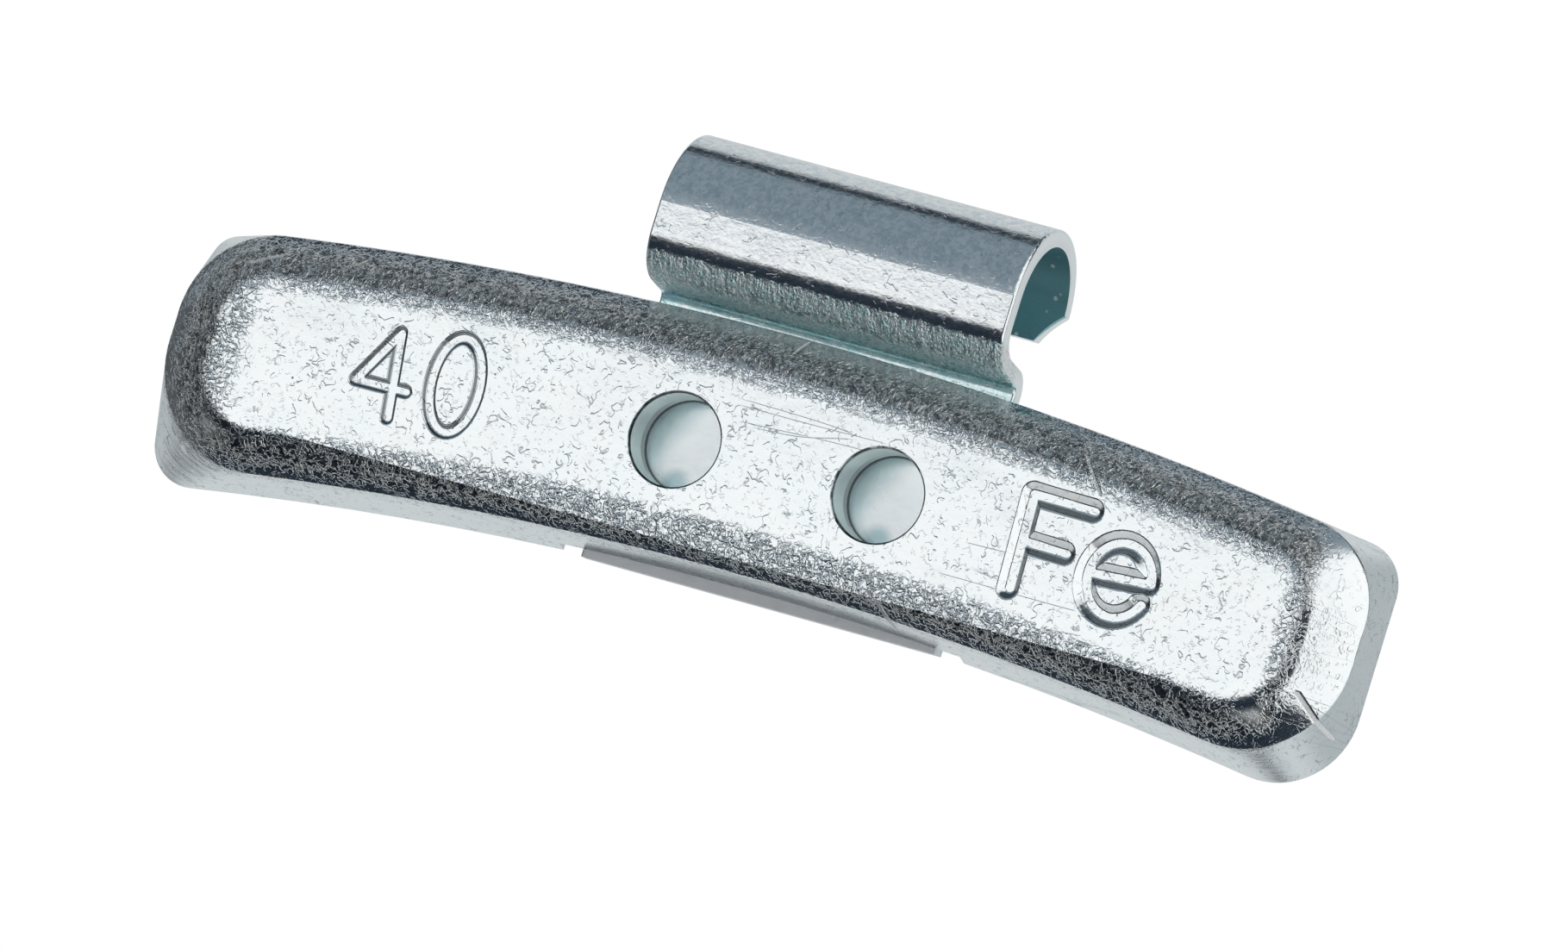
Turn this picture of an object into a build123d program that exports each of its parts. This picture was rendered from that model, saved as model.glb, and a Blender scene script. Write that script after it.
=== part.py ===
"""Clip-on balance weight for a car wheel.

The frame is the one that the weight has on a wheel: +X runs along the rim, +Z points away
from the wheel's axle, and the weight's flat face looks along -Y. The origin is on the axis
of the clip's round hook, halfway along the clip. All sizes are in millimetres.
"""

import math
import os

from build123d import *

# Driving dimensions of the body
body_length = 72.4
body_height = 14.3
body_thickness = 5.1
inner_edge_radius = 220.5
side_wall = 3.3
top_draft = 0.15
bottom_draft = 0.75
left_end_draft = 0.45
right_end_draft = 0.1
top_bevel_run = 1.9
bottom_bevel_run = 1.4
end_bevel_run = 3.0
face_blend = 2.2
rim_round = 0.25
back_top_left_corner = 1.7
back_top_right_corner = 2.6
back_bottom_left_corner = 2.5
back_bottom_right_corner = 4.6
rim_top_left_corner = 5.7
rim_top_right_corner = 5.0
rim_bottom_corner = 6.2
face_top_corner = 3.2
face_bottom_corner = 4.0

# Driving dimensions of the two punched holes and the studs that clinch the clip
hole_spacing = 12.3
hole_drop = 0.28
hole_middle_x = 0.3
hole_diameter = 5.25
hole_depth = 2.6
hole_dish = 0.3
hole_mouth_chamfer = 0.12
stud_diameter = 4.2
stud_clearance = 0.05
stud_head_diameter = 5.8
stud_head_height = 0.7
stud_head_chamfer = 0.35

# Driving dimensions of the clip
strip_thickness = 0.95
clip_width = 21.6
hook_inner_radius = 3.6
tongue_length = 1.35
tongue_cut_width = 1.35
tongue_cut_height = 1.75
tongue_cut_bow = 0.12
roll_inner_radius = 1.65
bend_inner_radius = 0.45
shelf_slope = 8.0
bend_above_body = 0.05
foot_width = 24.2
foot_corner = 3.5
foot_shoulder_corner = 1.5
foot_shoulder_drop = 0.6
foot_overhang = 0.42
foot_side_gap = 0.1
sheared_edge_round = 0.2

# Where the body sits from the hook's axis
face_before_axis = 4.35
body_top_below_axis = 4.95
body_middle_x = -1.2

os.makedirs("parts", exist_ok=True)

# Places worked out from the driving dimensions
face_y = -face_before_axis
back_y = face_y + body_thickness
wall_y = back_y - side_wall
seat_y = back_y - strip_thickness
half_length = body_length / 2
outer_edge_radius = inner_edge_radius + body_height
arc_centre_z = -body_top_below_axis - outer_edge_radius
body_bottom_z = arc_centre_z + inner_edge_radius
foot_bottom_z = body_bottom_z - foot_overhang
hole_row_radius = inner_edge_radius + body_height / 2 - hole_drop
hole_z = arc_centre_z + math.sqrt(hole_row_radius**2 - (hole_spacing / 2) ** 2)
hole_places = [(hole_middle_x - hole_spacing / 2, hole_z), (hole_middle_x + hole_spacing / 2, hole_z)]
hole_radius = hole_diameter / 2
hole_floor_y = face_y + hole_depth


def rim_plane(y):
    """The plane across the wheel's axle at depth y, with its origin on the rim's centre."""
    return Plane(origin=(body_middle_x, y, arc_centre_z), x_dir=(1, 0, 0), z_dir=(0, -1, 0))


def front_plane(y):
    """The plane at depth y that sees the part from the front, with its origin at x = z = 0."""
    return Plane(origin=(0, y, 0), x_dir=(1, 0, 0), z_dir=(0, -1, 0))


def body_outline(insets, corner_radii):
    """A bar bent to the rim: two arcs about the rim's centre between two parallel ends.

    The insets are those of the top, the bottom, the left end and the right end. The corner
    radii are those of the top left, top right, bottom left and bottom right.
    """
    top_inset, bottom_inset, left_inset, right_inset = insets
    left = left_inset - half_length
    right = half_length - right_inset
    top_radius = outer_edge_radius - top_inset
    bottom_radius = inner_edge_radius + bottom_inset
    top_left = (left, math.sqrt(top_radius**2 - left**2))
    top_right = (right, math.sqrt(top_radius**2 - right**2))
    bottom_left = (left, math.sqrt(bottom_radius**2 - left**2))
    bottom_right = (right, math.sqrt(bottom_radius**2 - right**2))
    with BuildSketch() as outline:
        with BuildLine():
            ThreePointArc(top_left, (0, top_radius), top_right)
            Line(top_right, bottom_right)
            ThreePointArc(bottom_right, (0, bottom_radius), bottom_left)
            Line(bottom_left, top_left)
        make_face()
        corners = (top_left, top_right, bottom_left, bottom_right)
        for corner, corner_radius in zip(corners, corner_radii):
            fillet(outline.vertices().sort_by_distance(corner)[0], corner_radius)
    return outline.sketch


wall_insets = (top_draft, bottom_draft, left_end_draft, right_end_draft)
bevel_runs = (top_bevel_run, bottom_bevel_run, end_bevel_run, end_bevel_run)
face_insets = [wall + run for wall, run in zip(wall_insets, bevel_runs)]
back_top_corners = (back_top_left_corner, back_top_right_corner)
back_corners = (*back_top_corners, back_bottom_left_corner, back_bottom_right_corner)
rim_corners = (rim_top_left_corner, rim_top_right_corner, rim_bottom_corner, rim_bottom_corner)
face_corners = (face_top_corner, face_top_corner, face_bottom_corner, face_bottom_corner)
back_outline = body_outline((0, 0, 0, 0), back_corners)
rim_outline = body_outline(wall_insets, rim_corners)
face_outline = body_outline(face_insets, face_corners)

with BuildPart() as weight_body:
    # Drafted side walls from the back to the bevel's edge, then the bevel up to the flat face
    with BuildSketch(rim_plane(back_y)):
        add(back_outline)
    with BuildSketch(rim_plane(wall_y)):
        add(rim_outline)
    loft(ruled=True)
    with BuildSketch(rim_plane(wall_y)):
        add(rim_outline)
    with BuildSketch(rim_plane(face_y)):
        add(face_outline)
    loft(ruled=True)
    flat_face = weight_body.faces().sort_by(Axis.Y)[0]
    fillet(flat_face.edges(), face_blend)
    rim_edges = weight_body.edges().filter_by_position(Axis.Y, wall_y, wall_y)
    fillet(rim_edges, rim_round)

    # The seat for the clip's foot, open at the top and the bottom
    with BuildSketch(front_plane(back_y)):
        with Locations((0, body_bottom_z + body_height / 2)):
            Rectangle(foot_width + 2 * foot_side_gap, 2 * body_height)
    extrude(amount=strip_thickness, mode=Mode.SUBTRACT)

    # The two punched holes, with chamfered mouths and dished floors
    with BuildSketch(front_plane(face_y)):
        with Locations(hole_places):
            Circle(hole_radius)
    extrude(amount=-hole_depth, mode=Mode.SUBTRACT)
    mouths = weight_body.edges().filter_by(GeomType.CIRCLE).group_by(Axis.Y)[0]
    chamfer(mouths, hole_mouth_chamfer)
    for x, z in hole_places:
        with BuildSketch(Plane(origin=(x, hole_floor_y, z), x_dir=(1, 0, 0), z_dir=(0, 0, 1))):
            with BuildLine():
                Line((0, hole_dish), (0, 0))
                Line((0, 0), (hole_radius, 0))
                TangentArc((0, hole_dish), (hole_radius, 0), tangent=(1, 0))
            make_face()
        revolve(axis=Axis((x, hole_floor_y, z), (0, 1, 0)), mode=Mode.SUBTRACT)

    # The studs behind the holes, spread over the clip's foot
    with BuildSketch(front_plane(seat_y)):
        with Locations(hole_places):
            Circle(stud_diameter / 2)
    extrude(amount=-strip_thickness)
    with BuildSketch(front_plane(back_y)):
        with Locations(hole_places):
            Circle(stud_head_diameter / 2)
    extrude(amount=-stud_head_height)
    head_rims = weight_body.edges().filter_by(GeomType.CIRCLE).group_by(Axis.Y)[-1]
    chamfer(head_rims, stud_head_chamfer)

weight_body.part.label = "weight_body"

# The clip's centre line, seen along the rim: y to the right, z up
hook_radius = hook_inner_radius + strip_thickness / 2
roll_radius = roll_inner_radius + strip_thickness / 2
bend_radius = bend_inner_radius + strip_thickness / 2
foot_y = seat_y + strip_thickness / 2
slope = math.radians(shelf_slope)
bend_end_z = -body_top_below_axis + bend_above_body
both_radii = roll_radius + bend_radius
shelf = (foot_y + hook_radius - both_radii * (1 - math.sin(slope))) / math.cos(slope)
roll_start_z = bend_end_z + both_radii * math.cos(slope) + shelf * math.sin(slope)
roll_centre = (roll_radius - hook_radius, roll_start_z)
bend_centre = (foot_y - bend_radius, bend_end_z)

with BuildPart() as spring_clip:
    with BuildSketch(Plane.YZ.offset(-clip_width / 2)):
        with BuildLine() as centre_line:
            Line((hook_radius, -tongue_length), (hook_radius, 0))
            ThreePointArc((hook_radius, 0), (0, hook_radius), (-hook_radius, 0))
            Line((-hook_radius, 0), (-hook_radius, roll_start_z))
            roll = CenterArc(roll_centre, roll_radius, 180, 90 - shelf_slope)
            bend = CenterArc(bend_centre, bend_radius, 90 - shelf_slope, shelf_slope - 90)
            Line(roll @ 1, bend @ 0)
            Line(bend @ 1, (foot_y, foot_bottom_z))
        trace(line_width=strip_thickness)
    extrude(amount=clip_width)

    # The sheared edges are rolled over on the strip's outer side
    hook_face = spring_clip.faces().filter_by(GeomType.CYLINDER).sort_by(SortBy.AREA)[-1]
    fillet(hook_face.edges().filter_by(Plane.YZ), sheared_edge_round)

    # The foot is wider than the strip, behind the body
    shoulder_z = -body_top_below_axis - foot_shoulder_drop
    with BuildSketch(front_plane(back_y)) as foot:
        with Locations((0, (shoulder_z + foot_bottom_z) / 2)):
            Rectangle(foot_width, shoulder_z - foot_bottom_z)
        fillet(foot.vertices().group_by(Axis.Y)[0], foot_corner)
        fillet(foot.vertices().group_by(Axis.Y)[-1], foot_shoulder_corner)
    extrude(amount=strip_thickness)

    # The holes that the body's studs fill
    with BuildSketch(front_plane(back_y)):
        with Locations(hole_places):
            Circle(stud_diameter / 2 + stud_clearance)
    extrude(amount=strip_thickness, mode=Mode.SUBTRACT)

    # Both corners of the hook's tip are cut away along a hollow curve, which leaves a tongue
    cut_from = (clip_width / 2 - tongue_cut_width, -tongue_length)
    cut_to = (clip_width / 2, tongue_cut_height - tongue_length)
    cut_side = clip_width / 2 + strip_thickness
    cut_bottom = -tongue_length - strip_thickness
    with BuildSketch(front_plane(hook_inner_radius / 2)):
        with BuildLine():
            SagittaArc(cut_from, cut_to, tongue_cut_bow)
            Polyline(
                cut_to,
                (cut_side, cut_to[1]),
                (cut_side, cut_bottom),
                (cut_from[0], cut_bottom),
                cut_from,
            )
        make_face()
        mirror(about=Plane.YZ)
    extrude(amount=-hook_radius, mode=Mode.SUBTRACT)

spring_clip.part.label = "spring_clip"

export_step(weight_body.part, "parts/weight_body.step")
export_step(spring_clip.part, "parts/spring_clip.step")
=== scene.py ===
"""The looks of a clip-on balance weight for a car wheel: zinc-plated steel in a light tent.

Sizes and places are in millimetres in the CAD's own frame, and become metres where an object
is made. The pressed marks on the face are a mass and the chemical symbol of iron.
"""

import math

import bmesh
import bpy
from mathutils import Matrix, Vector
from mathutils.geometry import delaunay_2d_cdt


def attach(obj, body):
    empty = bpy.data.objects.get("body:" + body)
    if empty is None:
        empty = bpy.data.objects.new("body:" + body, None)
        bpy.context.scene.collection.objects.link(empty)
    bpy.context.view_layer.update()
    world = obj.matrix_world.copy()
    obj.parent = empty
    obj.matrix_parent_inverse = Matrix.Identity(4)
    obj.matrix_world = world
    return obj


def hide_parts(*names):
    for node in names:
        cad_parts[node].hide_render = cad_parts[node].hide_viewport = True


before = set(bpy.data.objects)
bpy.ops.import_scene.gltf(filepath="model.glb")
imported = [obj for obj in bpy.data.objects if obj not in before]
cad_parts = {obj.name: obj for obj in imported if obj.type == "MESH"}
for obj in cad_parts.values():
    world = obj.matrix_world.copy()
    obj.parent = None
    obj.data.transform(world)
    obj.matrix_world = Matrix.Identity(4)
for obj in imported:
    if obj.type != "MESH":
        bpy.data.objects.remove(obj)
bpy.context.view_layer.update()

metres_per_mm = 0.001

# The camera, fitted to the photograph
camera_aim = (-0.826, 0.0, -12.338)
camera_azimuth = math.radians(21.219)
camera_elevation = math.radians(-4.372)
camera_roll = math.radians(17.101)
camera_distance = 1172.38
camera_lens = 492.3
camera_sensor = 36.0
camera_clip_start = 10.0

# The light tent, a large sphere round the part, and the floor
tent_radius = 900.0
tent_columns = 96
tent_rows = 48
floor_z = -150.0
floor_size = 8000.0

# The body, as the CAD has it: its flat face and the centre of its arcs, as x and z
face_y = -4.35
arc_centre = (-1.2, -239.75)

# The pressed marks: centre lines on the flat face, as x and z
four_top = (-23.11, -10.8)
four_left = (-24.92, -13.9)
four_right = (-21.86, -13.86)
four_foot = (-22.46, -15.5)
zero_centre = (-19.18, -12.78)
zero_side = (1.3, 0.9)
zero_top = (-0.62, 2.5)
f_top = (15.03, -10.1)
f_foot = (15.23, -15.4)
f_top_arm = (18.66, -10.16)
f_middle = (15.13, -12.72)
f_middle_arm = (17.78, -12.8)
e_centre = (21.14, -13.42)
e_side = (1.84, 0.0)
e_top = (0.0, 2.07)
e_bar_left = (19.3, -13.42)
e_bar_right = (22.97, -13.2)
e_arc_start = math.radians(6)
e_arc_end = math.radians(332)
curve_steps = 40
number_floor_half = 0.22
number_wall_run = 0.17
number_depth = 0.2
number_grid = 0.05
symbol_floor_half = 0.28
symbol_wall_run = 0.36
symbol_depth = 0.36
symbol_grid = 0.08
mark_margin = 0.15

# How the CAD's mesh is read and filled again
merge_distance = 0.001
flatness = 0.002
sharp_edge_angle = math.radians(28)
fill_kind = 2
fill_tolerance = 1e-6
tiny = 1e-9

# The punched holes in the face, as the CAD has them
hole_places = ((-5.85, -12.46), (6.45, -12.46))
hole_mouth_radius = 2.74

# Gouges in the face and its bevels: both ends, as x and z, and half the width
gouges = (
    ((-0.98, -6.1), (-0.61, -5.3), 0.12),
    ((17.3, -7.4), (18.8, -9.2), 0.13),
    ((7.6, -17.7), (8.6, -18.9), 0.16),
    ((32.7, -16.7), (34.3, -18.3), 0.22),
    ((-33.0, -9.2), (-31.4, -8.35), 0.12),
)

# Zones of the body. Each pair says where a share starts to change and where it stops.
# Distances from the centre of the arcs
top_zone = (232.5, 231.0)
bottom_zone = (222.7, 223.9)
# Places along x
left_zone = (-34.0, -31.2)
right_zone = (31.8, 30.4)
smooth_end_zone = (31.2, 32.4)
symbol_side_zone = (-1.0, 1.0)
# Places along y
front_zone = (-1.5, -2.4)
bevel_zone = (-4.348, -4.28)
rim_zone = (-3.7, -2.7)
wall_zone = (-2.6, -2.4)
hole_front_zone = (-4.3, -4.1)
hole_back_zone = (-1.0, -1.3)
hole_foot_zone = (-1.88, -1.83)
hole_mouth_zone = (-4.2, -4.25)
# Places along z
low_zone = (-15.5, -17.5)
# Distances from the middle of the nearer hole
hole_zone = (2.8, 2.7)
hole_wall_zone = (2.45, 2.58)
mouth_inner_zone = (2.6, 2.64)
mouth_outer_zone = (2.76, 2.72)
floor_spot_zone = (1.1, 0.3)
# Depths below the face and heights above a mark's floor
below_face_zone = (0.01, 0.04)
above_floor_zone = (0.005, 0.04)
# Directions of the surface
end_facing = (0.5, 0.8)
downward_facing = (-0.3, -0.6)
up_and_left_facing = (-0.1, 0.3)

# The dark spot of the painted reflection on each hole's floor, from the middle of the hole, as x and
# z
floor_spot = (-0.3, -2.1)

# Zones of the clip, in the same way
cut_facing = (0.85, 0.97)
hook_inside_zone = (4.05, 3.85)
hook_height_zone = (-6.0, -3.0)
foot_zone = (-15.0, -16.0)
bend_bottom_zone = (-4.9, -4.4)
bend_top_zone = (-2.5, -3.0)
bend_front_zone = (-0.6, -1.4)
hook_top_zone = (0.2, 0.9)
green_top_zone = (-2.3, -2.9)
green_bottom_zone = (-9.0, -6.0)

# Colours of the body
body_cloud_dark = (0.9, 0.955, 0.97, 1)
body_cloud_light = (0.96, 0.99, 1.0, 1)
# Bevel mottle: low-shine plating with a painted dark reflection
bevel_dark = (0.13, 0.133, 0.13, 1)
bevel_light = (0.76, 0.76, 0.74, 1)
# Painted reflection on the floors of the holes
hole_floor_reflection_teal = (0.45, 0.62, 0.65, 1)
# Hole walls: painted light, paler than the plating
hole_wall_painted_light = (0.88, 0.98, 0.98, 1)
sheared_end_grey = (0.64, 0.69, 0.71, 1)
# Dark of the scuffs and pits: scuffed plating with painted shade
body_wear_and_shade = (0.16, 0.19, 0.21, 1)
bevel_line = (0.9, 0.93, 0.94, 1)
# Painted dark reflection on the walls of the pressed marks
mark_wall_reflection_dark = (0.04, 0.06, 0.07, 1)
gouge_bright = (0.97, 0.98, 0.98, 1)
# Painted shade and painted dark reflection in rings at the holes
hole_ring_shade_dark = (0.03, 0.06, 0.07, 1)

# Colours of the clip
clip_cloud_dark = (0.66, 0.75, 0.79, 1)
clip_cloud_light = (0.98, 0.99, 0.99, 1)
clip_plain = (0.92, 0.955, 0.97, 1)
green_dark = (0.55, 0.82, 0.83, 1)
green_light = (0.94, 1.0, 1.0, 1)
# Painted highlight for the glints on the bend
glint_colour = (0.92, 1.0, 0.99, 1)
# Painted dark reflection inside the hook, with pale specks
inside_reflection_teal = (0.3, 0.54, 0.58, 1)
inside_reflection_speck = (1.0, 1.0, 1.0, 1)
# Dark of the clip's scuffs and pits: scuffed plating with painted shade
clip_wear_and_shade = (0.16, 0.2, 0.22, 1)
foot_pale = (0.93, 0.95, 0.955, 1)
cut_pale = (0.92, 0.95, 0.955, 1)

# Colours of the studio
tent_ring = (0.018, 0.026, 0.038, 1)
tent_side = (0.09, 0.096, 0.102, 1)
tent_table = (0.62, 0.645, 0.655, 1)
tent_screen = (1.0, 1.0, 1.0, 1)
tent_hood = (0.215, 0.265, 0.305, 1)
floor_colour = (0.9, 0.9, 0.9, 1)
world_white = (1, 1, 1, 1)

# Zones of the tent, as parts of the direction from the part
side_zone = (0.55, 0.8)
table_zone = (0.34, 0.5)
screen_zone = (0.52, 0.66)
screen_foot_zone = (-0.22, -0.08)
hood_zone = (0.1, 0.16)
hood_front_zone = (-0.06, 0.06)
camera_spot_zone = (math.cos(math.radians(20)), math.cos(math.radians(15)))

# Textures, and the roughness of clean plating
noise_middle = 0.5
patch_border = 0.05
scratch_patch_border = 0.03
scratch_patch_scale = 0.12
scratch_stretch = (0.05, 0.05, 0.9)
scratch_width = 0.012
body_roughness = 0.12
clip_roughness = 0.14
no_turn = (0, 0, 0)


def mm(*values):
    """A point in millimetres as a vector in metres."""
    return Vector(values) * metres_per_mm


# Marks

def ellipse(centre, side, top, start, end):
    """Points along an ellipse, from its centre and two of its radii."""
    points = []
    for i in range(curve_steps + 1):
        angle = start + (end - start) * i / curve_steps
        x = centre[0] + side[0] * math.cos(angle) + top[0] * math.sin(angle)
        z = centre[1] + side[1] * math.cos(angle) + top[1] * math.sin(angle)
        points.append((x, z))
    return points


def number_strokes():
    """The centre lines of the mass."""
    zero = ellipse(zero_centre, zero_side, zero_top, 0, 2 * math.pi)
    return [[four_foot, four_top, four_left, four_right], zero]


def symbol_strokes():
    """The centre lines of the symbol for iron."""
    bowl = ellipse(e_centre, e_side, e_top, e_arc_start, e_arc_end)
    return [
        [f_foot, f_top, f_top_arm],
        [f_middle, f_middle_arm],
        [e_bar_left, e_bar_right] + bowl,
    ]


def segments(strokes):
    """Each stroke's straight pieces, as pairs of 2-D vectors."""
    pairs = []
    for stroke in strokes:
        for a, b in zip(stroke, stroke[1:]):
            pairs.append((Vector(a), Vector(b)))
    return pairs


def distance_to(pairs, point):
    """The distance from a point to the nearest of the straight pieces."""
    nearest = math.inf
    for a, b in pairs:
        along = b - a
        share = (point - a).dot(along) / max(along.length_squared, tiny)
        foot = a + along * min(max(share, 0.0), 1.0)
        nearest = min(nearest, (point - foot).length)
    return nearest


def press_depth(pairs, point, floor_half, wall_run, depth):
    """How deep a mark is pressed at a point: its floor, then a slanted wall up to the face."""
    share = (distance_to(pairs, point) - floor_half) / wall_run
    return depth * (1 - min(max(share, 0.0), 1.0))


number_mark = (segments(number_strokes()), number_floor_half, number_wall_run, number_depth)
symbol_mark = (segments(symbol_strokes()), symbol_floor_half, symbol_wall_run, symbol_depth)


def mark_depth(point):
    """How deep the face is pressed in at a point, by the deeper of the two marks."""
    return max(press_depth(pairs, point, *sizes) for pairs, *sizes in (number_mark, symbol_mark))


def grid_points(pairs, reach, spacing):
    """Points of a triangular grid that lie within reach of the straight pieces."""
    xs = [p.x for pair in pairs for p in pair]
    zs = [p.y for pair in pairs for p in pair]
    row_height = spacing * math.sqrt(3) / 2
    points = []
    for row in range(int((max(zs) - min(zs) + 2 * reach) / row_height) + 1):
        z = min(zs) - reach + row * row_height
        for column in range(int((max(xs) - min(xs) + 2 * reach) / spacing) + 1):
            x = min(xs) - reach + (column + row % 2 / 2) * spacing
            point = Vector((x, z))
            if distance_to(pairs, point) < reach:
                points.append(point)
    return points


def mark_points():
    """The points on the face that carry the form of both marks."""
    points = []
    for mark, spacing in ((number_mark, number_grid), (symbol_mark, symbol_grid)):
        pairs, floor_half, wall_run, _ = mark
        points += grid_points(pairs, floor_half + wall_run + mark_margin, spacing)
    return points


# The marked body

def soften_edges(mesh):
    """Makes each edge smooth whose two faces meet at a small angle."""
    for edge in mesh.edges:
        if len(edge.link_faces) == 2:
            edge.smooth = edge.calc_face_angle() < sharp_edge_angle


def flat_face(mesh):
    """The faces of the plateau, which look along -Y at the mesh's front."""
    front = min(vertex.co.y for vertex in mesh.verts)
    return [
        face
        for face in mesh.faces
        if max(abs(vertex.co.y - front) for vertex in face.verts) < flatness * metres_per_mm
    ]


def take_plateau(mesh):
    """Takes the flat face away. Returns the edges of its outlines and its place along y."""
    plateau = flat_face(mesh)
    front = plateau[0].verts[0].co.y
    around = {edge for face in plateau for edge in face.edges}
    rim = [edge for edge in around if sum(face in plateau for face in edge.link_faces) == 1]
    bmesh.ops.delete(mesh, geom=plateau, context="FACES_KEEP_BOUNDARY")
    return rim, front


def in_hole(point):
    """Whether a point of the face plane lies in the mouth of a punched hole."""
    return any((point - Vector(place)).length < hole_mouth_radius for place in hole_places)


def fill_plateau(mesh, rim, front):
    """Fills the flat face's outlines with a face that has the marks pressed into it.

    Known fault: the hollow part of the outline, under its arched lower edge, is filled as
    well. Only the punched holes are left open, so a flat sheet stands there that the CAD
    body doesn't have.
    """
    rim_vertices = sorted({vertex for edge in rim for vertex in edge.verts}, key=lambda v: v.index)
    place = {vertex: i for i, vertex in enumerate(rim_vertices)}
    rim_pairs = [(place[edge.verts[0]], place[edge.verts[1]]) for edge in rim]
    flat = [Vector((v.co.x, v.co.z)) / metres_per_mm for v in rim_vertices] + mark_points()
    filled = delaunay_2d_cdt(flat, rim_pairs, [], fill_kind, fill_tolerance, True)
    points, _, faces, origins, _, _ = filled

    vertices = []
    for point, origin in zip(points, origins):
        known = [i for i in origin if i < len(rim_vertices)]
        if known:
            vertices.append(rim_vertices[known[0]])
        else:
            y = front + mark_depth(point) * metres_per_mm
            vertices.append(mesh.verts.new(mm(point.x, 0, point.y) + Vector((0, y, 0))))
    for corners in faces:
        middle = sum((points[i] for i in corners), Vector((0, 0))) / len(corners)
        if not in_hole(middle):
            mesh.faces.new([vertices[i] for i in corners])


def marked_body(node):
    """The CAD body with the marks pressed into its flat face."""
    mesh = bmesh.new()
    mesh.from_mesh(node.data)
    bmesh.ops.remove_doubles(mesh, verts=mesh.verts, dist=merge_distance * metres_per_mm)
    soften_edges(mesh)
    rim, front = take_plateau(mesh)
    fill_plateau(mesh, rim, front)
    bmesh.ops.recalc_face_normals(mesh, faces=mesh.faces)
    for face in mesh.faces:
        face.smooth = True

    data = bpy.data.meshes.new("marked_body")
    mesh.to_mesh(data)
    mesh.free()
    body = bpy.data.objects.new("marked_body", data)
    bpy.context.scene.collection.objects.link(body)
    normals = body.modifiers.new("normals", "WEIGHTED_NORMAL")
    normals.keep_sharp = True
    normals.weight = 50
    return body


# Node helpers

class Shader:
    """Builds a node tree: each method adds nodes and returns an output socket."""

    def __init__(self, tree):
        self.tree = tree
        tree.nodes.clear()

    def node(self, kind, sockets=None, **settings):
        """Adds a node, with its settings and its inputs as values or links. Returns the node."""
        made = self.tree.nodes.new(kind)
        for name, value in settings.items():
            setattr(made, name, value)
        for name, value in (sockets or {}).items():
            self.feed(made.inputs[name], value)
        return made

    def feed(self, socket, value):
        """Gives an input its value or its link."""
        if isinstance(value, bpy.types.NodeSocket):
            self.tree.links.new(value, socket)
        else:
            socket.default_value = value

    def math(self, operation, a, b=0.0):
        """One step of arithmetic."""
        return self.node("ShaderNodeMath", {0: a, 1: b}, operation=operation).outputs[0]

    def minus(self, a, b):
        """One value less another."""
        return self.math("SUBTRACT", a, b)

    def unsigned(self, value):
        """A value without its sign."""
        return self.math("ABSOLUTE", value)

    def product(self, first, *others):
        """The product of some values."""
        for other in others:
            first = self.math("MULTIPLY", first, other)
        return first

    def largest(self, first, *others):
        """The largest of some values."""
        for other in others:
            first = self.math("MAXIMUM", first, other)
        return first

    def total(self, *parts):
        """The sum of some values, each with its weight."""
        result = None
        for value, weight in parts:
            term = self.math("MULTIPLY", value, weight)
            result = term if result is None else self.math("ADD", result, term)
        return result

    def smooth(self, value, low, high, to_low=0.0, to_high=1.0):
        """A smooth step of a value between two limits."""
        limits = {0: value, 1: low, 2: high, 3: to_low, 4: to_high}
        return self.node("ShaderNodeMapRange", limits, interpolation_type="SMOOTHSTEP").outputs[0]

    def mix(self, share, a, b):
        """A colour between two colours."""
        made = self.node("ShaderNodeMix", {0: share, 6: a, 7: b}, data_type="RGBA")
        return made.outputs[2]

    def axes(self, vector):
        """The x, y and z of a vector."""
        return self.node("ShaderNodeSeparateXYZ", {0: vector}).outputs

    def length(self, across, up):
        """The length of a way in a plane."""
        flat = self.node("ShaderNodeCombineXYZ", {0: across, 1: up}).outputs[0]
        return self.node("ShaderNodeVectorMath", {0: flat}, operation="LENGTH").outputs["Value"]

    def noise(self, place, scale, seed, detail=2.0, rough=0.5, twist=0.0):
        """Noise whose features are about 1 / scale mm wide."""
        sockets = {
            "Vector": place,
            "W": seed,
            "Scale": scale,
            "Detail": detail,
            "Roughness": rough,
            "Distortion": twist,
        }
        return self.node("ShaderNodeTexNoise", sockets, noise_dimensions="4D").outputs["Fac"]

    def cells(self, place, scale, seed):
        """The distance to the nearest cell's middle, as a share of a cell."""
        moved = self.node("ShaderNodeVectorMath", {0: place, 1: (seed, seed, seed)}).outputs[0]
        sockets = {"Vector": moved, "Scale": scale}
        return self.node("ShaderNodeTexVoronoi", sockets).outputs["Distance"]

    def millimetres(self):
        """The place on the object, in millimetres."""
        place = self.node("ShaderNodeTexCoord").outputs["Object"]
        scale = {0: place, "Scale": 1 / metres_per_mm}
        return self.node("ShaderNodeVectorMath", scale, operation="SCALE").outputs[0]

    def normal(self):
        """The direction of the surface."""
        return self.node("ShaderNodeNewGeometry").outputs["Normal"]

    def turned(self, place, angles, scale):
        """The place turned about the axes and stretched."""
        sockets = {"Vector": place, "Rotation": angles, "Scale": scale}
        return self.node("ShaderNodeMapping", sockets).outputs[0]

    def bump(self, height):
        """A normal from a height in millimetres."""
        sockets = {"Height": height, "Distance": metres_per_mm, "Strength": 1.0}
        return self.node("ShaderNodeBump", sockets).outputs[0]

    def contour(self, level, width):
        """Lines along which a noise has its middle value."""
        return self.smooth(self.unsigned(self.minus(level, noise_middle)), 0.0, width, 1.0, 0.0)


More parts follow.
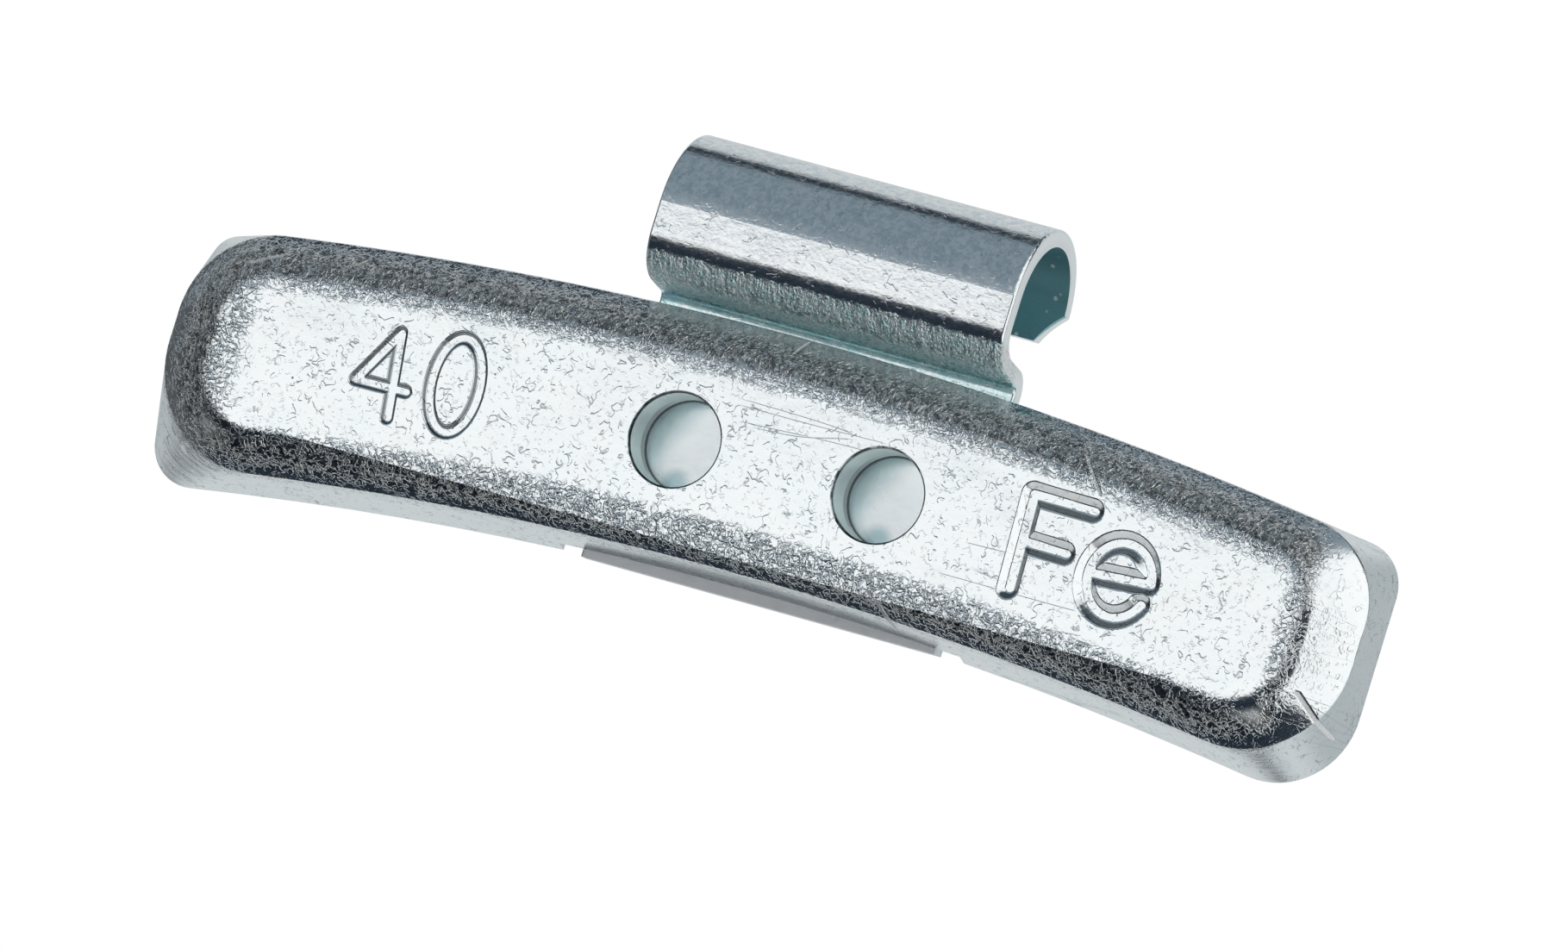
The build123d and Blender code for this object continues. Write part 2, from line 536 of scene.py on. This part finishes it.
def fibres(shader, place, scale, seed, width, cover):
    """Short curved hairlines, as the plating's scuffs are: broken contour lines of a noise."""
    line = shader.contour(shader.noise(place, scale, seed, detail=1.0, twist=0.4), width)
    patches = shader.noise(place, scale * 1.1, seed + 3.0, detail=0.0)
    return shader.product(line, shader.smooth(patches, cover, cover + patch_border))


def ridges(shader, place, scale, seed, width):
    """Crowded curved ridges, as on plating that was crinkled by the press."""
    return shader.contour(shader.noise(place, scale, seed, detail=1.0, twist=0.8), width)


def scratches(shader, place, angle, seed, cover):
    """Long thin straight scratches on the front, all at about one angle."""
    across = shader.turned(place, (0, angle, 0), scratch_stretch)
    line = shader.contour(shader.noise(across, 1.0, seed, detail=0.0), scratch_width)
    patches = shader.noise(place, scratch_patch_scale, seed + 5.0, detail=0.0)
    return shader.product(line, shader.smooth(patches, cover, cover + scratch_patch_border))


def pits(shader, place, scale, seed, size, cover):
    """Small round pits in some of the cells."""
    dot = shader.smooth(shader.cells(place, scale, seed), size * 0.5, size, 1.0, 0.0)
    patches = shader.noise(place, scale * 0.45, seed + 7.0, detail=1.0)
    return shader.product(dot, shader.smooth(patches, cover, cover + patch_border))


def gouge(shader, x, z, start, end, half_width):
    """One deep scratch on the front: 1 along its line, 0 away from it."""
    along = Vector(end) - Vector(start)
    half_length = along.length / 2
    along.normalize()
    from_x = shader.minus(x, start[0])
    from_z = shader.minus(z, start[1])
    run = shader.total((from_x, along.x), (from_z, along.y))
    off = shader.unsigned(shader.total((from_x, -along.y), (from_z, along.x)))
    from_middle = shader.unsigned(shader.minus(run, half_length))
    beyond = shader.largest(shader.minus(from_middle, half_length), 0.0)
    away = shader.math("ADD", off, beyond)
    return shader.smooth(away, half_width * 0.4, half_width, 1.0, 0.0)


def new_material(name):
    """An empty material and its shader builder."""
    material = bpy.data.materials.new(name)
    material.use_nodes = True
    return material, Shader(material.node_tree)


def metal(shader, colour, roughness, normal, metallic=1.0):
    """A plain metal surface as the material's output."""
    sockets = {"Base Color": colour, "Metallic": metallic, "Roughness": roughness, "Normal": normal}
    surface = shader.node("ShaderNodeBsdfPrincipled", sockets).outputs[0]
    shader.node("ShaderNodeOutputMaterial", {"Surface": surface})


# The material of the body

class BodyZones:
    """Where a point is on the body, mostly as shares from 0 to 1."""

    def __init__(self, shader):
        self.place = shader.millimetres()
        self.x, self.y, self.z = shader.axes(self.place)
        self.normal_x, _, self.normal_z = shader.axes(shader.normal())
        self.find_face(shader)
        self.find_holes(shader)

    def find_face(self, shader):
        """The flat face's middle, its bevels and the side walls."""
        from_x = shader.minus(self.x, arc_centre[0])
        from_z = shader.minus(self.z, arc_centre[1])
        radius = shader.length(from_x, from_z)
        across = shader.product(shader.smooth(radius, *top_zone), shader.smooth(radius, *bottom_zone))
        along = shader.product(shader.smooth(self.x, *left_zone), shader.smooth(self.x, *right_zone))
        self.middle = shader.product(across, along)
        right_clear = shader.smooth(self.x, *smooth_end_zone, 1.0, 0.06)
        in_front = shader.smooth(self.y, *front_zone)
        self.edge = shader.product(shader.minus(1.0, self.middle), right_clear, in_front)
        self.bevel = shader.product(shader.smooth(self.y, *bevel_zone), self.edge)
        self.low = shader.smooth(shader.total((self.z, 1.0), (self.x, 0.02)), *low_zone)
        self.toward_rim = shader.smooth(self.y, *rim_zone, 1.0, 0.15)
        self.wall = shader.smooth(self.y, *wall_zone)
        self.at_end = shader.smooth(shader.unsigned(self.normal_x), *end_facing)
        facing_down = shader.smooth(self.normal_z, *downward_facing)
        self.upper_walls = shader.product(facing_down, self.middle)

    def find_holes(self, shader):
        """The way from the middle of the nearer punched hole, and the holes' own shares."""
        (left_x, hole_row_z), (right_x, _) = hole_places
        from_middle = shader.minus(self.x, (left_x + right_x) / 2)
        to_hole = shader.product(shader.math("SIGN", from_middle), (right_x - left_x) / 2)
        self.hole_x = shader.minus(from_middle, to_hole)
        self.hole_z = shader.minus(self.z, hole_row_z)
        self.from_hole = shader.length(self.hole_x, self.hole_z)
        within = shader.smooth(self.from_hole, *hole_zone)
        behind_face = shader.smooth(self.y, *hole_front_zone)
        before_back = shader.smooth(self.y, *hole_back_zone)
        self.hole = shader.product(within, behind_face, before_back)
        self.hole_wall = shader.product(shader.smooth(self.from_hole, *hole_wall_zone), self.hole)
        self.plain = shader.minus(1.0, self.hole)


class BodyTexture:
    """The marks of work and wear on the body, as heights or as shares from 0 to 1."""

    def __init__(self, shader, zones):
        place = zones.place
        self.swell = shader.noise(place, scale=0.22, seed=1.0, detail=1.0)
        self.dents = shader.noise(place, scale=1.4, seed=2.0, rough=0.6)
        self.cloud = shader.smooth(
            shader.noise(place, scale=0.5, seed=11.0, detail=3.0, rough=0.6), 0.3, 0.7
        )
        self.fine = fibres(shader, place, scale=1.6, seed=4.0, width=0.028, cover=0.55)
        self.short = fibres(shader, place, scale=2.7, seed=5.0, width=0.04, cover=0.53)
        self.lines = shader.largest(self.fine, self.short)
        flat_lines = scratches(shader, place, math.radians(12), seed=6.0, cover=0.56)
        steep_lines = scratches(shader, place, math.radians(-62), seed=8.0, cover=0.58)
        self.long_lines = shader.product(shader.largest(flat_lines, steep_lines), zones.plain)
        off_wall = shader.smooth(zones.wall, 0.0, 1.0, 1.0, 0.0)
        pitted = pits(shader, place, scale=1.1, seed=10.0, size=0.09, cover=0.6)
        self.pitted = shader.product(pitted, off_wall)
        self.gouged = 0.0
        for start, end, half_width in gouges:
            one = gouge(shader, zones.x, zones.z, start, end, half_width)
            self.gouged = shader.largest(one, self.gouged)
        drawn_place = shader.turned(place, no_turn, (0.12, 2.6, 0.2))
        drawn = shader.noise(drawn_place, scale=1.0, seed=12.0)
        sheared_place = shader.turned(place, no_turn, (0.3, 0.35, 3.0))
        sheared = shader.noise(sheared_place, scale=1.0, seed=13.0)
        side = shader.total((shader.product(sheared, zones.at_end), 1.6), (drawn, 1.0))
        self.side_marks = shader.product(side, zones.wall)


def body_height(shader, zones, texture):
    """The relief of the body in millimetres. Its crinkle and its ridges lie on the bevels."""
    place = zones.place
    crinkle = shader.noise(place, scale=2.8, seed=3.0, rough=0.6, twist=1.2)
    crinkle = shader.minus(crinkle, noise_middle)
    crinkle_depth = shader.total((zones.edge, 0.04), (zones.low, 0.005))
    crinkle_depth = shader.math("ADD", shader.product(crinkle_depth, zones.toward_rim), 0.003)
    crinkle_depth = shader.product(crinkle_depth, zones.plain)
    wide_ridges = ridges(shader, place, scale=1.3, seed=16.0, width=0.05)
    narrow_ridges = ridges(shader, place, scale=2.0, seed=17.0, width=0.06)
    crowded = shader.minus(shader.largest(wide_ridges, narrow_ridges), 0.4)
    bevel_share = shader.product(zones.edge, zones.toward_rim)
    levelled_floor = shader.product(zones.from_hole, zones.from_hole, zones.hole)
    return shader.total(
        (texture.swell, 0.06),
        (levelled_floor, -0.041),
        (texture.dents, 0.008),
        (shader.product(crinkle, crinkle_depth), 1.0),
        (shader.product(bevel_share, -0.02, texture.lines), 1.0),
        (shader.product(bevel_share, crowded), 0.045),
        (shader.product(texture.fine, zones.plain), -0.005),
        (shader.product(texture.short, zones.plain), -0.002),
        (texture.side_marks, 0.02),
        (texture.long_lines, -0.003),
        (texture.pitted, -0.02),
        (texture.gouged, -0.05),
    )


def mark_walls(shader, zones):
    """The walls of the pressed marks that get a painted dark reflection.

    The number's walls all get it. The symbol's get it where they face up and to the left.
    """
    number_floor_y = face_y + number_depth
    symbol_floor_y = face_y + symbol_depth
    floor = shader.smooth(zones.x, *symbol_side_zone, number_floor_y, symbol_floor_y)
    below_face = shader.smooth(zones.y, *(face_y + depth for depth in below_face_zone))
    above_floor = shader.smooth(shader.minus(floor, zones.y), *above_floor_zone)
    up_and_left = shader.total((zones.normal_z, 0.8), (zones.normal_x, -0.6))
    symbol_share = shader.smooth(up_and_left, *up_and_left_facing, 0.0, 0.85)
    number_share = shader.smooth(zones.x, *symbol_side_zone, 0.8, 0.0)
    return shader.product(
        shader.product(below_face, above_floor),
        shader.largest(number_share, symbol_share),
    )


def hole_rings(shader, zones, dents):
    """The painted dark rings of each hole: painted shade at the foot of its wall and a painted dark
    reflection along its mouth.
    """
    foot = shader.product(zones.hole_wall, shader.smooth(zones.y, *hole_foot_zone))
    mouth = shader.product(
        shader.smooth(zones.from_hole, *mouth_inner_zone),
        shader.smooth(zones.from_hole, *mouth_outer_zone),
        shader.smooth(zones.y, *hole_mouth_zone),
        shader.smooth(dents, 0.42, 0.58, 0.4, 0.95),
    )
    return shader.largest(shader.product(foot, 0.8), mouth)


def hole_floor_reflection_share(shader, zones):
    """The blue-green painted reflection on the floor of each hole: on its upper left and as a spot
    below.
    """
    up_and_left = shader.total((zones.hole_x, -0.8), (zones.hole_z, 0.5))
    upper_left = shader.smooth(up_and_left, 0.3, 1.6, 0.0, 0.6)
    spot_x = shader.math("ADD", zones.hole_x, -floor_spot[0])
    spot_z = shader.math("ADD", zones.hole_z, -floor_spot[1])
    spot = shader.smooth(shader.length(spot_x, spot_z), *floor_spot_zone, 0.0, 0.9)
    return shader.product(zones.hole, shader.largest(upper_left, spot))


def dull_zinc_and_dark_reflection(shader, place):
    """The colour of the bevels: mottled plating of low shine, its dark mottle a painted dark
    reflection.
    """
    mottle = shader.noise(place, scale=2.8, seed=15.0, detail=3.0, rough=0.7, twist=1.2)
    return shader.mix(shader.smooth(mottle, 0.4, 0.6), bevel_dark, bevel_light)


def body_wear_and_shade_share(shader, zones, texture):
    """Where the hairlines and the pits of the face show dark: scuffed and pitted plating, darkened
    further as painted shade.
    """
    wear_and_shade = shader.largest(
        shader.product(texture.fine, 0.5),
        shader.product(texture.short, 0.22),
        shader.product(texture.long_lines, 0.2),
        shader.product(texture.pitted, 0.6),
    )
    return shader.product(wear_and_shade, shader.minus(zones.plain, zones.edge))


def body_colour(shader, zones, texture, wear_and_shade, pale_lines):
    """The colour of the body, from its plating to the marks on top of it, with painted light and
    shade among them.
    """
    # The bevels get their plating's mottle and a painted dark reflection
    dull_and_reflection_share = shader.product(zones.bevel, zones.toward_rim, 0.9)
    # The walls of the pressed marks get a painted dark reflection
    outlines = shader.product(mark_walls(shader, zones), zones.middle)
    sheared_end = shader.product(zones.at_end, zones.wall)
    colour = shader.mix(texture.cloud, body_cloud_dark, body_cloud_light)
    colour = shader.mix(dull_and_reflection_share, colour, dull_zinc_and_dark_reflection(shader, zones.place))
    # Painted reflection on the floors of the holes
    colour = shader.mix(hole_floor_reflection_share(shader, zones), colour, hole_floor_reflection_teal)
    # Painted light on the walls of the holes
    colour = shader.mix(zones.hole_wall, colour, hole_wall_painted_light)
    colour = shader.mix(sheared_end, colour, sheared_end_grey)
    # Scuffs and pits: their own darker plating, with painted shade on top
    colour = shader.mix(wear_and_shade, colour, body_wear_and_shade)
    colour = shader.mix(pale_lines, colour, bevel_line)
    colour = shader.mix(outlines, colour, mark_wall_reflection_dark)
    colour = shader.mix(texture.gouged, colour, gouge_bright)
    # Painted shade at each hole's foot and a painted dark reflection along its mouth
    return shader.mix(hole_rings(shader, zones, texture.dents), colour, hole_ring_shade_dark)


def body_zinc():
    """Bright zinc on the pressed body: icy and finely scuffed, with crinkled bevels, and with painted
    light, shade and dark reflections in places.
    """
    material, shader = new_material("body_zinc")
    zones = BodyZones(shader)
    texture = BodyTexture(shader, zones)
    wear_and_shade = body_wear_and_shade_share(shader, zones, texture)
    pale_lines = shader.product(texture.lines, zones.bevel, 0.85)
    roughness = shader.total(
        (texture.cloud, 0.04),
        (wear_and_shade, 0.1),
        (pale_lines, 0.4),
        (texture.gouged, 0.45),
        (zones.hole_wall, 0.4),
        (zones.upper_walls, 0.7),
        (zones.wall, 0.12),
    )
    roughness = shader.math("ADD", roughness, body_roughness)
    # Painted light: the downward-facing mark walls and the hole walls are made partly non-metal, so
    # that they show bright
    painted_light_walls = shader.product(zones.upper_walls, 0.75)
    painted_light_holes = shader.product(zones.hole_wall, 0.4)
    metallic = shader.minus(1.0, shader.largest(painted_light_walls, painted_light_holes))
    colour = body_colour(shader, zones, texture, wear_and_shade, pale_lines)
    height = body_height(shader, zones, texture)
    metal(shader, colour, roughness, shader.bump(height), metallic)
    return material


# The material of the clip

class ClipZones:
    """Where a point is on the clip, mostly as shares from 0 to 1."""

    def __init__(self, shader):
        self.place = shader.millimetres()
        _, y, z = shader.axes(self.place)
        normal_x = shader.axes(shader.normal())[0]
        self.cut = shader.smooth(shader.unsigned(normal_x), *cut_facing)
        # The inside of the hook, which gets a painted dark reflection
        near_axis = shader.smooth(shader.length(y, z), *hook_inside_zone)
        self.inside = shader.product(near_axis, shader.smooth(z, *hook_height_zone))
        self.foot = shader.smooth(z, *foot_zone)
        self.bend = shader.product(
            shader.smooth(z, *bend_bottom_zone),
            shader.smooth(z, *bend_top_zone),
            shader.smooth(y, *bend_front_zone),
        )
        self.hook_top = shader.smooth(z, *hook_top_zone)
        self.green = shader.product(
            shader.smooth(z, *green_top_zone),
            shader.smooth(z, *green_bottom_zone),
        )


class ClipTexture:
    """The marks of work and wear on the clip, as shares from 0 to 1. Its glints are painted
    highlights, and the dark of its scuffs and pits is partly painted shade.
    """

    def __init__(self, shader, zones):
        place = zones.place
        cloud = shader.noise(place, scale=2.6, seed=27.0, detail=4.0, rough=0.75, twist=0.6)
        self.cloud = shader.smooth(cloud, 0.36, 0.64)
        self.fine = fibres(shader, place, scale=1.6, seed=24.0, width=0.035, cover=0.6)
        self.pitted = pits(shader, place, scale=1.1, seed=25.0, size=0.08, cover=0.62)
        self.specks = pits(shader, place, scale=1.3, seed=28.0, size=0.22, cover=0.44)
        self.pale_specks = pits(shader, place, scale=2.0, seed=29.0, size=0.2, cover=0.55)
        # Glints: painted highlights on the bend
        bright = shader.smooth(shader.noise(place, scale=3.2, seed=30.0), 0.52, 0.6)
        self.glints = shader.product(bright, zones.bend)
        # Hairlines and pits: scuffed plating, darkened further as painted shade
        wear_and_shade = shader.largest(shader.product(self.fine, 0.25), shader.product(self.pitted, 0.7))
        self.wear_and_shade = shader.product(wear_and_shade, shader.minus(1.0, zones.foot))


def clip_height(shader, zones, texture):
    """The relief of the clip in millimetres. Its ribs and its sparkle lie on the bend."""
    place = zones.place
    swell = shader.noise(place, scale=0.25, seed=21.0, detail=1.0)
    grain_place = shader.turned(place, no_turn, (0.5, 1.0, 1.0))
    grain = shader.noise(grain_place, scale=2.4, seed=22.0, rough=0.6, twist=0.6)
    crinkle = shader.noise(place, scale=5.0, seed=23.0, rough=0.6, twist=0.5)
    ribs_place = shader.turned(place, no_turn, (1.8, 0.6, 0.6))
    ribs = shader.noise(ribs_place, scale=1.0, seed=26.0, detail=3.0, rough=0.7)
    return shader.total(
        (swell, 0.05),
        (grain, 0.013),
        (crinkle, 0.007),
        (texture.fine, -0.006),
        (texture.pitted, -0.015),
        (shader.product(shader.minus(ribs, noise_middle), zones.bend), 0.8),
        (shader.product(shader.minus(crinkle, noise_middle), zones.bend), 0.32),
    )


def clip_colour(shader, zones, texture):
    """The colour of the clip, from its plating to its foot and its sheared edges, with painted
    highlights, painted shade and a painted dark reflection.
    """
    green = shader.mix(texture.cloud, green_dark, green_light)
    inside_reflection = shader.mix(texture.specks, inside_reflection_teal, inside_reflection_speck)
    colour = shader.mix(texture.cloud, clip_cloud_dark, clip_cloud_light)
    colour = shader.mix(zones.hook_top, clip_plain, colour)
    colour = shader.mix(texture.pale_specks, colour, clip_cloud_light)
    colour = shader.mix(zones.green, colour, green)
    # Painted highlights as glints on the bend
    colour = shader.mix(texture.glints, colour, glint_colour)
    # Painted dark reflection inside the hook
    colour = shader.mix(zones.inside, colour, inside_reflection)
    # Scuffs and pits: their own darker plating, with painted shade on top
    colour = shader.mix(texture.wear_and_shade, colour, clip_wear_and_shade)
    colour = shader.mix(zones.foot, colour, foot_pale)
    return shader.mix(zones.cut, colour, cut_pale)


def clip_zinc():
    """Blue-green passivated zinc on the strip of the clip, with its sheared edges paler, and painted
    highlights, shade and reflection in places.
    """
    material, shader = new_material("clip_zinc")
    zones = ClipZones(shader)
    texture = ClipTexture(shader, zones)
    roughness = shader.total(
        (texture.cloud, 0.06),
        (zones.cut, 0.2),
        (texture.wear_and_shade, 0.1),
        (texture.specks, 0.1),
        (zones.bend, 0.1),
        (texture.glints, 0.4),
        (zones.inside, 0.3),
        (zones.foot, 0.4),
        (texture.pale_specks, 0.2),
    )
    roughness = shader.math("ADD", roughness, clip_roughness)
    height = clip_height(shader, zones, texture)
    metal(shader, clip_colour(shader, zones, texture), roughness, shader.bump(height))
    return material


# The studio

def tent_colour(shader, way, view):
    """The colour of the tent in each direction from the part."""
    x, y, z = shader.axes(way)
    ahead = shader.product(y, -1.0)
    to_right = shader.largest(x, 0.0)
    to_left = shader.largest(shader.product(x, -1.0), 0.0)
    down = shader.largest(shader.product(z, -1.0), 0.0)
    aside = shader.product(shader.total((to_left, 0.55), (to_right, 1.5)), down)
    front = shader.total((ahead, 1.0), (to_right, 0.75))
    behind = shader.total((ahead, -1.0), (z, 0.17), (aside, 1.0))
    above_foot = shader.smooth(shader.total((z, 1.0), (to_right, 0.6)), *screen_foot_zone)
    screen_share = shader.product(shader.smooth(front, *screen_zone), above_foot)
    high = shader.smooth(shader.total((z, 1.0), (to_right, -2.2)), *hood_zone)
    hood_share = shader.product(high, shader.smooth(ahead, *hood_front_zone))
    toward = shader.node("ShaderNodeVectorMath", {0: way, 1: view}, operation="DOT_PRODUCT")
    camera_spot = shader.smooth(toward.outputs["Value"], *camera_spot_zone)

    colour = shader.mix(shader.smooth(to_left, *side_zone), tent_ring, tent_side)
    colour = shader.mix(shader.smooth(behind, *table_zone), colour, tent_table)
    colour = shader.mix(screen_share, colour, tent_screen)
    colour = shader.mix(hood_share, colour, tent_hood)
    return shader.mix(camera_spot, colour, tent_ring)


def tent_cloth(view):
    """The tent's inside: a white front, a dark ring, a pale table behind, a blue-grey top.

    A dark spot stands for the camera, which sits in the tent's wall in the direction of view.
    """
    material, shader = new_material("tent_cloth")
    place = shader.node("ShaderNodeTexCoord").outputs["Object"]
    way = shader.node("ShaderNodeVectorMath", {0: place}, operation="NORMALIZE").outputs[0]
    colour = tent_colour(shader, way, view)
    light = shader.node("ShaderNodeEmission", {"Color": colour, "Strength": 1.0}).outputs[0]
    shader.node("ShaderNodeOutputMaterial", {"Surface": light})
    material.cycles.emission_sampling = "NONE"
    return material


def light_tent(view):
    """The sphere that the metal mirrors. Only reflections see it."""
    sphere = bmesh.new()
    radius = tent_radius * metres_per_mm
    bmesh.ops.create_uvsphere(sphere, u_segments=tent_columns, v_segments=tent_rows, radius=radius)
    for face in sphere.faces:
        face.smooth = True
    data = bpy.data.meshes.new("light_tent")
    sphere.to_mesh(data)
    sphere.free()
    tent = bpy.data.objects.new("light_tent", data)
    bpy.context.scene.collection.objects.link(tent)
    tent.data.materials.append(tent_cloth(view))
    tent.visible_camera = False
    tent.visible_diffuse = False
    tent.visible_transmission = False
    tent.visible_shadow = False


def pale_floor():
    """A plain pale floor below the part."""
    half = floor_size * metres_per_mm / 2
    z = floor_z * metres_per_mm
    data = bpy.data.meshes.new("floor")
    corners = [(-half, -half, z), (half, -half, z), (half, half, z), (-half, half, z)]
    data.from_pydata(corners, [], [(0, 1, 2, 3)])
    floor = bpy.data.objects.new("floor", data)
    bpy.context.scene.collection.objects.link(floor)
    material, shader = new_material("floor_paint")
    sockets = {"Base Color": floor_colour, "Roughness": 0.8}
    surface = shader.node("ShaderNodeBsdfPrincipled", sockets).outputs[0]
    shader.node("ShaderNodeOutputMaterial", {"Surface": surface})
    floor.data.materials.append(material)
    floor.visible_glossy = False


def white_surroundings():
    """A world that shows as white, and lights matt surfaces a little less brightly."""
    world = bpy.data.worlds.new("surroundings")
    world.use_nodes = True
    shader = Shader(world.node_tree)
    rays = shader.node("ShaderNodeLightPath").outputs
    seen = shader.largest(
        rays["Is Camera Ray"],
        rays["Is Glossy Ray"],
        rays["Is Transmission Ray"],
    )
    strength = shader.smooth(seen, 0.0, 1.0, 0.85, 1.0)
    sockets = {"Color": world_white, "Strength": strength}
    surface = shader.node("ShaderNodeBackground", sockets).outputs[0]
    shader.node("ShaderNodeOutputWorld", {"Surface": surface})
    world.cycles.sampling_method = "NONE"
    bpy.context.scene.world = world


def photo_camera():
    """The camera of the photograph. Returns the direction from the part to it."""
    view = Vector((
        math.sin(camera_azimuth) * math.cos(camera_elevation),
        -math.cos(camera_azimuth) * math.cos(camera_elevation),
        math.sin(camera_elevation),
    ))
    data = bpy.data.cameras.new("camera")
    data.sensor_width = camera_sensor
    data.lens = camera_lens
    data.clip_start = camera_clip_start * metres_per_mm
    camera = bpy.data.objects.new("camera", data)
    bpy.context.scene.collection.objects.link(camera)
    camera.location = mm(*camera_aim) + view * camera_distance * metres_per_mm
    level = view.to_track_quat("Z", "Y").to_matrix().to_4x4()
    turn = level.Rotation(camera_roll, 4, "Z")
    camera.matrix_world = level.Translation(camera.location) @ level @ turn
    bpy.context.scene.camera = camera
    return view


def dress_body():
    """Stands a marked and plated copy for the CAD body."""
    body = marked_body(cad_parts["weight_body"])
    body.data.materials.append(body_zinc())
    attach(body, "root")
    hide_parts("weight_body")


def dress_clip():
    """Plates the CAD clip."""
    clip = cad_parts["spring_clip"]
    clip.data.materials.clear()
    clip.data.materials.append(clip_zinc())


bpy.context.scene.view_settings.view_transform = "Standard"
dress_body()
dress_clip()
light_tent(photo_camera())
pale_floor()
white_surroundings()
